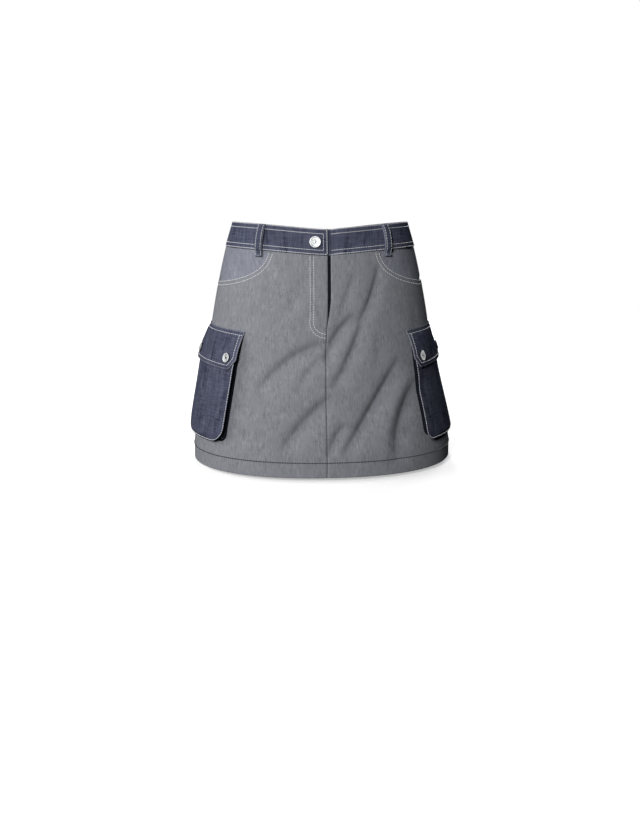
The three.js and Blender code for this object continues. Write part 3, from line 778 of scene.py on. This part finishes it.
for place in LOOPS:
    across = np.linspace(-LOOP_WIDTH / 2, LOOP_WIDTH / 2, 13)[None, :]
    share = np.linspace(LOOP_PATH[0, 0], LOOP_PATH[-1, 0], 50)[:, None]
    points = loop_point(place, across + 0 * share, share + 0 * across)
    flat = np.stack([across + 0 * share, share * BAND_HEIGHT + 0 * across], axis=-1)
    cut_cloth(f"loop_{place}", points, flat, LOOP_THICK, denim, "denim",
              f"belt_loop_{place}", edge=SOFT_EDGE)

    def loop_face(across, share, out, place=place):
        return loop_point(place, across, share, out)

    from_middle = LOOP_WIDTH / 2 - LOOP_STITCH_IN
    rows = [(loop_face, np.full(30, edge * from_middle), np.linspace(*LOOP_STITCHED, 30)) for edge in (-1, 1)]
    sewing(f"loop_stitches_{place}", rows, white_thread, "denim", thread=LOOP_THREAD)

# Cargo pockets
# Denim patch pockets on a gusset that folds inward: deep along their edges and flatter over the hip. The
# face is edge-stitched to the gusset. Each is open at the top, under its flap, and leans a little.

FLAP_TOP = 152
FLAP_HEIGHT = 57.5
FLAP_FRONT = 119
FLAP_WIDTH = 138
POCKET_MOUTH = 32
POCKET_BASE = 165
POCKET_THICK = 1.2
FACE_CORNER = {-1: 24, 1: 15}
FOOT_CORNER = 11
FACE_STITCH_IN = 1.4
MOUTH_CLEAR = 2  # how far below the mouth's ends the stitches start
POCKET_FRONT = FLAP_FRONT - 3
POCKET_BACK = FLAP_FRONT - FLAP_WIDTH + 3
POCKET_MIDDLE = (POCKET_FRONT + POCKET_BACK) / 2
POCKET_HALF = (POCKET_FRONT - POCKET_BACK) / 2
# how far each pocket is shifted forward, at its flap's seam and at its base
POCKET_LEAN = {-1: (2.5, 2.5), 1: (-5, 6)}
POCKET_BEND = 1400
POCKET_RATE = 1.025
POCKET_FAN = 0.0005
POCKET_LEVEL = 230
# the mouth's ends are caught up towards the flap's seam
MOUTH_RISE = 17
MOUTH_SHAPE = 8
# how far the face stands off the skirt at first, how much further lower down, and between which drops
EDGE_DEPTH, EDGE_MORE, EDGE_DROPS = 9, 3, (POCKET_MOUTH, POCKET_MOUTH + 25)
MIDDLE_DEPTH, MIDDLE_MORE, MIDDLE_DROPS = 1.9, 3.5, (45, 115)
DEPTH_SHAPE = 2.2
FLAP_SEWN = 4  # how far below its seam the flap lies flat
FLAP_SHAPE = 0.65
GUSSET_STEPS = 8
GUSSET_FOLD = 4.5
FOLD_AT_TOP = 0.4  # share of the gusset's fold that is left at the top
# how far the face's edge lies outside the gusset's foot
FACE_OVERHANG = {-1: 1.0, 1: 5.0}
FACE_COLUMNS = 80
FACE_ROWS = 80
CORNER_ROWS = 12
ARC_STEPS = 24
ROW_STEPS = 60


def angle_forward(arc, drop):
    """The angle an arc's length forward of the side seam."""
    angle = 90.0 + 0 * (arc + drop)
    for _ in range(ARC_STEPS):
        speed = np.linalg.norm(ring_point(angle + 0.5, drop) - ring_point(angle - 0.5, drop), axis=-1)
        angle = angle - arc / ARC_STEPS / speed
    return angle


def pocket_point(sign, arc, down, out):
    """A place on a pocket: an arc forward of the side seam, a distance down, and a distance off the skirt."""
    bend = arc**2 / (2 * POCKET_BEND) * (1 - down / POCKET_BASE)
    drop = FLAP_TOP + POCKET_RATE * down + bend
    at_top, at_base = POCKET_LEAN[sign]
    forward = arc + at_top + (at_base - at_top) * down / POCKET_BASE
    spread = forward * (1 + POCKET_FAN * (drop - POCKET_LEVEL))
    return skirt_point(sign * angle_forward(spread, drop), drop, out)


def face_depth(arc, down):
    """How far the pocket's face stands off the skirt, where no flap holds it."""
    edge = EDGE_DEPTH + EDGE_MORE * ease(down, *EDGE_DROPS)
    middle = MIDDLE_DEPTH + MIDDLE_MORE * ease(down, *MIDDLE_DROPS)
    m = np.minimum(np.abs(arc - POCKET_MIDDLE) / POCKET_HALF, 1)
    return middle + (edge - middle) * m**DEPTH_SHAPE


def under_flap(down):
    """How far the flap has risen from its seam, from 0 there to 1 over the pocket."""
    return np.clip((down - FLAP_SEWN) / (POCKET_MOUTH - FLAP_SEWN), 0, 1) ** FLAP_SHAPE


def pocket_outline(inset, corner, turn):
    """The half width and the drop of a pocket's edge, by the turn round its lower corner, 0 to 90 degrees."""
    half = POCKET_HALF - inset - corner * (1 - np.cos(turn))
    return half, POCKET_BASE - inset - corner * (1 - np.sin(turn))


def pocket_grid(sign):
    """Rows down the face and round its lower corners, then under its base, with a gusset on three sides."""
    rising = np.linspace(0, 1, GUSSET_STEPS)
    strip = np.ones(GUSSET_STEPS - 1)
    share = np.linspace(0, 1, FACE_ROWS)[:, None]
    turn = np.radians(np.concatenate([
        np.zeros(FACE_ROWS), np.linspace(0, 90, CORNER_ROWS + 1)[1:], 90 * strip,
    ]))[:, None]
    off_base = np.concatenate([np.ones(FACE_ROWS + CORNER_ROWS), rising[-2::-1]])[:, None]
    off_side = np.concatenate([rising[:-1], np.ones(FACE_COLUMNS), rising[-2::-1]])[None, :]
    edge = np.concatenate([strip, np.zeros(FACE_COLUMNS), -strip])
    across = np.concatenate([strip, np.linspace(1, -1, FACE_COLUMNS), -strip])[None, :]
    raised = np.minimum(off_base, off_side)
    mouth = POCKET_MOUTH - MOUTH_RISE * np.abs(across) ** MOUTH_SHAPE

    def lie(inset, corner):
        half, low = pocket_outline(inset, corner, turn)
        top = low[0]
        down = np.concatenate([mouth + (top - mouth) * share, low[FACE_ROWS:] + 0 * across])
        return POCKET_MIDDLE + half * across, down

    arc, down = lie(0, FACE_CORNER[sign])
    foot_arc, foot_down = lie(FACE_OVERHANG[sign], FOOT_CORNER)
    depth = (face_depth(arc, down) - SEAM) * under_flap(down)
    slack = depth * (1 - raised)
    flat = np.stack([arc + edge * np.cos(turn) * slack, down + np.sin(turn) * slack], axis=-1)
    fold_share = FOLD_AT_TOP + (1 - FOLD_AT_TOP) * down / POCKET_BASE
    inward = GUSSET_FOLD * fold_share * np.sin(np.pi * raised)
    arc = foot_arc + (arc - foot_arc) * raised - edge * np.cos(turn) * inward
    down = foot_down + (down - foot_down) * raised - np.sin(turn) * inward
    return pocket_point(sign, arc, down, SEAM + depth * raised), flat


for side, sign in SIDES:
    points, flat = pocket_grid(sign)
    pocket = cut_cloth(f"pocket_{side}", points, flat, POCKET_THICK, denim, "denim",
                       f"cargo_pocket_{side}")
    # the gusset faces take the near-black twill: painted shade for the shadow under the face's edge
    pocket.data.materials.append(shade_dark_twill)
    cut_places = pocket.data.uv_layers["cloth"].data
    for face in pocket.data.polygons:
        across, down = np.mean([cut_places[k].uv[:] for k in face.loop_indices], axis=0)
        if abs(across - POCKET_MIDDLE) > POCKET_HALF or down > POCKET_BASE:
            face.material_index = 1

    def pocket_face(arc, down, out, sign=sign):
        return pocket_point(sign, arc, down, SEAM + (face_depth(arc, down) - SEAM) * under_flap(down) + out)

    curve = np.radians(np.linspace(0, 90, 16))
    half, low = pocket_outline(FACE_STITCH_IN, FACE_CORNER[sign] - FACE_STITCH_IN, curve)
    straight = np.full(ROW_STEPS, half[0])
    side_down = np.linspace(POCKET_MOUTH - MOUTH_RISE + MOUTH_CLEAR, low[0], ROW_STEPS)
    across_base = np.linspace(1, -1, ROW_STEPS) * half[-1]
    arc = np.concatenate([straight, half, across_base, -half[::-1], -straight])
    down = np.concatenate([side_down, low, np.full(ROW_STEPS, low[-1]), low[::-1], side_down[::-1]])
    sewing(f"pocket_stitches_{side}", [(pocket_face, arc + POCKET_MIDDLE, down)], white_thread, "denim")

# Pocket flaps
# Two layers of denim turned out and topstitched, with cut-off lower corners, sewn down along the top edge.

FLAP_CUT_ACROSS = 12
FLAP_CUT_DOWN = 15
FLAP_THICK = 1.5
FLAP_GAP = 1.2
FLAP_ROWS = 48
FLAP_COLUMNS = 110
FLAP_STITCH_IN = 6.0
TOP_ROW_IN = 1.5
# how far the flap's rear end hangs off the pocket, from which drop, and between which arcs it does
FLAP_LIFT = 2.5
LIFT_FROM = 20
LIFT_ARCS = (10, 70)


def flap_out(arc, down):
    """How far the flap's underside stands off the skirt: flat at its seam, then over the pocket."""
    over = face_depth(arc, np.maximum(down, POCKET_MOUTH)) + FLAP_GAP
    lifted = FLAP_LIFT * ease(down, LIFT_FROM, FLAP_HEIGHT) * (1 - ease(arc, *LIFT_ARCS))
    return SEAM + (over - SEAM) * under_flap(down) + lifted


for side, sign in SIDES:
    down = np.linspace(0, FLAP_HEIGHT, FLAP_ROWS)[:, None]
    cut = np.maximum(down - (FLAP_HEIGHT - FLAP_CUT_DOWN), 0) / FLAP_CUT_DOWN
    half = FLAP_WIDTH / 2 - FLAP_CUT_ACROSS * cut
    arc = FLAP_FRONT - FLAP_WIDTH / 2 + half * np.linspace(1, -1, FLAP_COLUMNS)[None, :]
    down = down + 0 * arc
    points = pocket_point(sign, arc, down, flap_out(arc, down) + FLAP_THICK)
    cut_cloth(f"flap_{side}", points, np.stack([arc, down], axis=-1), FLAP_THICK, denim, "denim",
              f"pocket_flap_{side}", edge=SOFT_EDGE)

    def flap_face(arc, down, out, sign=sign):
        return pocket_point(sign, arc, down, flap_out(arc, down) + FLAP_THICK + out)

    half = FLAP_WIDTH / 2
    slant = np.hypot(FLAP_CUT_ACROSS, FLAP_CUT_DOWN)
    corner_inset = FLAP_STITCH_IN * (slant - FLAP_CUT_DOWN) / FLAP_CUT_ACROSS
    base_inset = FLAP_STITCH_IN * (slant - FLAP_CUT_ACROSS) / FLAP_CUT_DOWN
    arc = [half - FLAP_STITCH_IN, half - FLAP_STITCH_IN, half - FLAP_CUT_ACROSS - base_inset]
    arc = np.array(arc + [-a for a in arc[::-1]]) + FLAP_FRONT - half
    down = [FLAP_STITCH_IN, FLAP_HEIGHT - FLAP_CUT_DOWN - corner_inset, FLAP_HEIGHT - FLAP_STITCH_IN]
    down = np.array(down + down[::-1])
    share = np.linspace(0, 1, 200)
    stops = np.concatenate([[0], np.cumsum(np.hypot(np.diff(arc), np.diff(down)))])
    outline = (np.interp(share * stops[-1], stops, arc), np.interp(share * stops[-1], stops, down))
    across_top = np.linspace(half - TOP_ROW_IN, TOP_ROW_IN - half, 80)
    top_row = (FLAP_FRONT - half + across_top, np.full(80, FLAP_STITCH_IN))
    sewing(f"flap_stitches_{side}", [(flap_face, *outline), (flap_face, *top_row)], white_thread, "denim")

# Buttons
# Nickel-plated shank buttons, stamped with a rolled rim, a sunk ring and a low round centre.

# share of the radius, height as a share of the radius
BUTTON_PROFILE = [
    (0, 0), (0.84, 0), (0.93, 0.03), (0.99, 0.1), (1, 0.17), (0.97, 0.25), (0.91, 0.3), (0.84, 0.31),
    (0.78, 0.295), (0.74, 0.275), (0.7, 0.265), (0.62, 0.262), (0.5, 0.262), (0.4, 0.258), (0.34, 0.24),
    (0.3, 0.228), (0.24, 0.23), (0.17, 0.245), (0.08, 0.252), (0, 0.254),
]
BUTTON_STEPS = 48
BUTTON_WELD = 1e-6
WAIST_BUTTON = 17
BUTTON_FROM_LAP = 18
FLAP_BUTTON = 15
BUTTON_IN = 19
BUTTON_DOWN = 41
# the plate's colour by the share of the radius, outside its face
PLATE_RINGS = ((0.74, "#8b8c8c"), (0.86, "#b3b5b5"), (0.95, "#77797a"))
PLATE_SIDE = "#232325"


def plated(name, middle, face):
    """Nickel plate rubbed bright on its face, duller in the middle and dark down the side."""
    material, tree, shader = new_material(name)
    place = add_node(tree, "ShaderNodeTexCoord").outputs["Object"]
    tarnish = add_node(tree, "ShaderNodeTexNoise", {"Vector": place, "Scale": 420.0, "Detail": 4.0})
    outward = add_node(tree, "ShaderNodeSeparateXYZ", {
        "Vector": add_node(tree, "ShaderNodeUVMap", uv_map="profile").outputs["UV"],
    })
    across = add_node(tree, "ShaderNodeValToRGB", {"Fac": outward.outputs["X"]})
    ramp = across.color_ramp.elements
    ramp[0].position, ramp[0].color = 0.12, linear(middle)
    ramp[1].position, ramp[1].color = 1.0, linear(PLATE_SIDE)
    for where, shade in ((0.36, face), (0.62, face), *PLATE_RINGS):
        ramp.new(where).color = linear(shade)
    rubbed = add_node(tree, "ShaderNodeMapRange", {
        "Value": tarnish.outputs["Fac"], "From Min": 0.35, "From Max": 0.7, "To Min": 0.3, "To Max": 0.55,
    })
    tone = add_node(tree, "ShaderNodeMix", {
        "Factor": 0.6, 6: across.outputs["Color"], 7: tarnish.outputs["Fac"],
    }, data_type="RGBA", blend_type="OVERLAY")
    tree.links.new(tone.outputs[2], shader.inputs["Base Color"])
    tree.links.new(rubbed.outputs["Result"], shader.inputs["Roughness"])
    shader.inputs["Metallic"].default_value = 1
    return material


bright_nickel = plated("bright nickel plate", "#767878", "#9d9f9f")
dull_nickel = plated("dull nickel plate", "#2e2f30", "#8d8f90")


def button(name, node, diameter, place, metal):
    """A turned button. place gives a point on the cloth from a distance across and a distance down."""
    radius = diameter / 2
    bm = bmesh.new()
    rim = [bm.verts.new((r * radius * MM, 0, h * radius * MM)) for r, h in BUTTON_PROFILE]
    edges = [bm.edges.new(pair) for pair in zip(rim, rim[1:])]
    bmesh.ops.spin(bm, geom=rim + edges, cent=(0, 0, 0), axis=(0, 0, 1), angle=2 * np.pi,
                   steps=BUTTON_STEPS, use_merge=True)
    bmesh.ops.remove_doubles(bm, verts=bm.verts, dist=BUTTON_WELD)
    bmesh.ops.recalc_face_normals(bm, faces=bm.faces)
    layer = bm.loops.layers.uv.new("profile")
    for part in bm.faces:
        part.smooth = True
        for loop in part.loops:
            loop[layer].uv = (loop.vert.co.xy.length / (radius * MM), 0.5)
    middle = Vector(place(0.0, 0.0))
    around = Vector(place(radius, 0.0)) - Vector(place(-radius, 0.0))
    down = Vector(place(0.0, radius)) - Vector(place(0.0, -radius))
    outward = around.cross(down).normalized()
    if outward.dot(Vector((middle.x, middle.y, 0))) < 0:
        outward.negate()
    tries = [(radius, 0.0), (-radius, 0.0), (0.0, radius), (0.0, -radius), (0.0, 0.0)]
    high = max(Vector(place(a, d)).dot(outward) for a, d in tries)
    seat = middle + (high - middle.dot(outward) + SEAM) * outward
    turn = outward.to_track_quat("Z", "Y").to_matrix().to_4x4()
    bmesh.ops.transform(bm, verts=bm.verts, matrix=Matrix.Translation(seat * MM) @ turn)
    mesh = bpy.data.meshes.new(name)
    bm.to_mesh(mesh)
    bm.free()
    return sew_in(name, mesh, metal, "button_metal", node)


def at_waist(across, down):
    drop = band_top(0.0) + BAND_HEIGHT / 2 + down
    return skirt_point(angle_at(LAP_END - BUTTON_FROM_LAP + across, drop), drop, BAND_OUT)


button("waistband_button", "waist_button", WAIST_BUTTON, at_waist, bright_nickel)
for side, sign in SIDES:
    for end, arc in (("front", FLAP_FRONT - BUTTON_IN), ("back", FLAP_FRONT - FLAP_WIDTH + BUTTON_IN)):
        def on_flap(across, low, sign=sign, arc=arc):
            down = BUTTON_DOWN + low
            return pocket_point(sign, arc + across, down, flap_out(arc + across, down) + FLAP_THICK)

        button(f"button_{side}_{end}", f"flap_button_{side}_{end}", FLAP_BUTTON, on_flap, dull_nickel)

# Shorts
# Plain woven shorts inside, hung from the waistband: a front and a back for each leg.

# drop, how far the shorts lie inside the skirt
SHORTS_INSET = np.array([(0, 4.2), (60, 4.2), (120, 8), (200, 15), (262, 27)])
SHORTS_GAP = 0.8  # between their top edge and the waistband
SHORTS_THICK = 0.9
SHORTS_PART = 165
SHORTS_FORK = 262
SHORTS_HEM = 314
LEG_HALF_WIDTH = 82
LEG_FRONT = 92
LEG_BACK = 102
LEG_SPREAD = 8

shorts_cloth = woven(
    "plain cotton lining cloth", "#55585f", "#787b82",
    threads=[(1.5, 18, 0.9), (10, 1.5, 0.5)],
    contrast=1.0, patches=30, roughness=0.92, bump=0.2,
)


def shorts_point(s, level):
    """s runs from the centre front round the side to the centre back, on the wearer's left."""
    sine, cosine = np.sin(np.pi * s), np.cos(np.pi * s)
    r = reach(180 * s, level, along(SHORTS_INSET, 1, level))
    turn = np.clip((level - SHORTS_PART) / (SHORTS_FORK - SHORTS_PART), 0, 1)
    closing = 1 - np.sqrt(1 - turn**2)
    spread = LEG_SPREAD * np.clip((level - SHORTS_FORK) / (SHORTS_HEM - SHORTS_FORK), 0, 1)
    leg_x = LEG_HALF_WIDTH + spread - LEG_HALF_WIDTH * np.cos(2 * np.pi * s)
    leg_y = -np.where(s < 0.5, LEG_FRONT, LEG_BACK) * np.sin(2 * np.pi * s)
    x = r * sine + (leg_x - r * sine) * closing
    y = -r * cosine + (leg_y + r * cosine) * closing
    return np.stack([np.maximum(x, SEAM / 2), y, -level], axis=-1)


for side, sign in SIDES:
    for end, low in (("front", 0.0), ("back", 0.5)):
        s = low + 0.5 * np.linspace(0, 1, 60)[None, :]
        top = band_seam(180 * s) + SHORTS_GAP
        body = np.linspace(0, 1, 26)[:, None]
        fork = np.sin(np.radians(np.linspace(0, 90, 30)))[1:, None]
        level = np.concatenate([
            top + (SHORTS_PART - top) * body,
            SHORTS_PART + (SHORTS_FORK - SHORTS_PART) * fork + 0 * s,
            SHORTS_FORK + (SHORTS_HEM - SHORTS_FORK) * np.linspace(0, 1, 14)[1:, None] + 0 * s,
        ])
        s = s + 0 * level
        points = shorts_point(s, level) * (sign, 1, 1)
        cut_cloth(f"shorts_{end}_cloth_{side}", points, flat_patch(points, level), SHORTS_THICK,
                  shorts_cloth, "shorts_cloth", f"shorts_{end}_{side}")

# Light, floor and camera
# A flat floor of white paper. A broad soft light stands to the left, a smaller one near the camera, and
# two behind. The paper and the surroundings are seen white but throw no light on the cloth.

FLOOR_LEVEL = -0.372
LIGHT_AIM = Vector((0, 0, -0.18))

# name, turn and rise in degrees, distance and size in metres, power in watts
LIGHTS = [
    ("side light", -80, 22, 2.5, 1.8, 31),
    ("front light", -20, 22, 2.5, 0.7, 48),
    ("back light", 180, 30, 2.6, 1.2, 42),
    ("far side light", 146, 18, 2.6, 1.4, 26),
]

floor_mesh = bpy.data.meshes.new("floor")
bm = bmesh.new()
bmesh.ops.create_grid(bm, x_segments=1, y_segments=1, size=2.0)
bmesh.ops.translate(bm, verts=bm.verts, vec=(0, 0, FLOOR_LEVEL))
bm.to_mesh(floor_mesh)
bm.free()
floor = bpy.data.objects.new("floor", floor_mesh)
bpy.context.scene.collection.objects.link(floor)
paper, _, paper_shader = new_material("matt white paper")
paper_shader.inputs["Base Color"].default_value = linear("#f4f4f4")
paper_shader.inputs["Roughness"].default_value = 0.9
paper_shader.inputs["Emission Color"].default_value = (1, 1, 1, 1)
paper_shader.inputs["Emission Strength"].default_value = 0.45
floor_mesh.materials.append(paper)
floor.visible_diffuse = False

world = bpy.data.worlds.new("studio")
world.use_nodes = True
world.node_tree.nodes["Background"].inputs["Color"].default_value = (1, 1, 1, 1)
world.node_tree.nodes["Background"].inputs["Strength"].default_value = 1
world.cycles_visibility.diffuse = False
bpy.context.scene.world = world
bpy.context.scene.view_settings.view_transform = "Standard"


def studio_light(name, turn, rise, away, size, power):
    """A round soft light aimed at the skirt. turn is its angle round the figure, as for the cloth."""
    turn, rise = np.radians(turn), np.radians(rise)
    level = np.cos(rise)
    place = LIGHT_AIM + away * Vector((np.sin(turn) * level, -np.cos(turn) * level, np.sin(rise)))
    lamp = bpy.data.lights.new(name, "AREA")
    lamp.shape = "DISK"
    lamp.size = size
    lamp.energy = power
    light = bpy.data.objects.new(name, lamp)
    light.location = place
    light.rotation_euler = (LIGHT_AIM - place).to_track_quat("-Z", "Y").to_euler()
    bpy.context.scene.collection.objects.link(light)


for values in LIGHTS:
    studio_light(*values)

camera_data = bpy.data.cameras.new("camera")
camera_data.sensor_fit = "HORIZONTAL"
camera_data.sensor_width = 36
camera_data.lens = 45.97
camera = bpy.data.objects.new("camera", camera_data)
camera.location = (-0.0809, -1.2853, -0.008)
camera.rotation_euler = np.radians((77.6, 0, -3.6))
bpy.context.scene.collection.objects.link(camera)
bpy.context.scene.camera = camera
